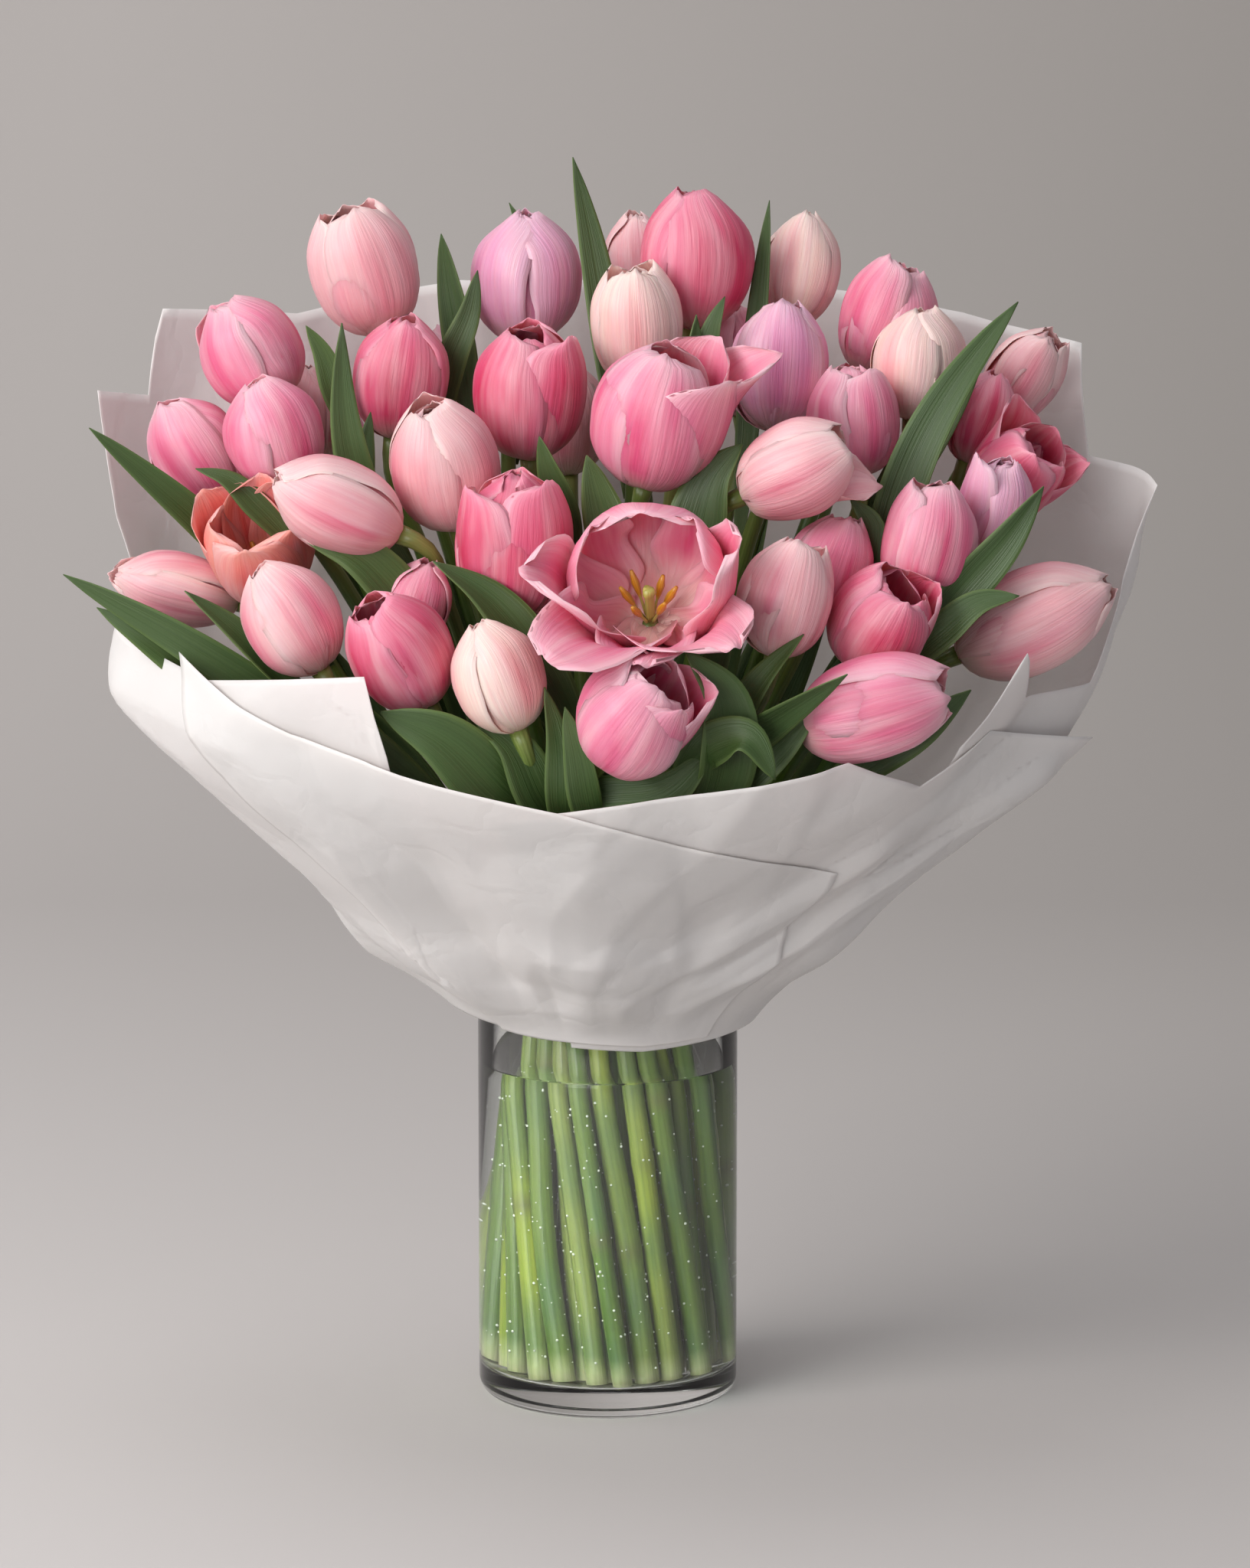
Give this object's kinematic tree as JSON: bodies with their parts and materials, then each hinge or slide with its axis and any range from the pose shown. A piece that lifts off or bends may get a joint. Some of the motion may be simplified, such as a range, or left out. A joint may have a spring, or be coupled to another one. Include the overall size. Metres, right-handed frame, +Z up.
{
  "type": "tulips in a vase",
  "caption": "Cut tulips wrapped in white paper, standing in a round clear glass cylinder vase partly filled with water.",
  "frame": {"origin": "centre of the vase's foot, on the surface that it stands on", "axes": "+Z up along the vase, the front of the bunch faces -Y, +X to the right"},
  "size_m": [0.4898, 0.3555, 0.5722],
  "materials": {
    "glass": "clear, polished",
    "water": "clear",
    "petal_blush": "satin petals, pale pink",
    "petal_lilac": "satin petals, lavender pink",
    "petal_rose": "satin petals, rose pink",
    "petal_cream": "satin petals, cream flushed with pink",
    "petal_magenta": "satin petals, deep pink",
    "petal_coral": "satin petals, coral",
    "leaf": "waxy leaf green",
    "paper": "thin white wrapping paper"
  },
  "bodies": {
    "root": {"vase": "glass", "water": "water", "tulip_01": "petal_blush", "tulip_02": "petal_lilac", "tulip_03": "petal_rose", "tulip_04": "petal_cream", "tulip_05": "petal_blush", "tulip_06": "petal_rose", "tulip_07": "petal_cream", "tulip_08": "petal_lilac", "tulip_09": "petal_rose", "tulip_10": "petal_rose", "tulip_11": "petal_rose", "tulip_12": "petal_magenta", "tulip_13": "petal_magenta", "tulip_14": "petal_rose", "tulip_15": "petal_blush", "tulip_16": "petal_blush", "tulip_17": "petal_magenta", "tulip_18": "petal_blush", "tulip_19": "petal_blush", "tulip_20": "petal_magenta", "tulip_21": "petal_magenta", "tulip_22": "petal_lilac", "tulip_23": "petal_rose", "tulip_24": "petal_blush", "tulip_25": "petal_blush", "tulip_26": "petal_rose", "tulip_27": "petal_rose", "tulip_28": "petal_magenta", "tulip_29": "petal_magenta", "tulip_30": "petal_rose", "tulip_31": "petal_rose", "tulip_32": "petal_cream", "tulip_33": "petal_magenta", "tulip_34": "petal_blush", "tulip_35": "petal_coral", "tulip_36": "petal_blush", "tulip_37": "petal_blush", "tulip_38": "petal_rose", "tulip_39": "petal_blush", "tulip_40": "petal_rose", "tulip_41": "petal_rose", "tulip_42": "petal_blush", "tulip_43": "petal_rose", "tulip_44": "petal_lilac", "leaf_top": "leaf", "leaf_top_left": "leaf", "leaf_top_right": "leaf", "leaf_left": "leaf", "leaf_far_left": "leaf", "leaf_low_left": "leaf", "leaf_right": "leaf", "leaf_front": "leaf", "paper_back_left": "paper", "paper_back_right": "paper", "paper_left": "paper", "paper_right": "paper", "paper_front": "paper"}
  },
  "joints": []
}
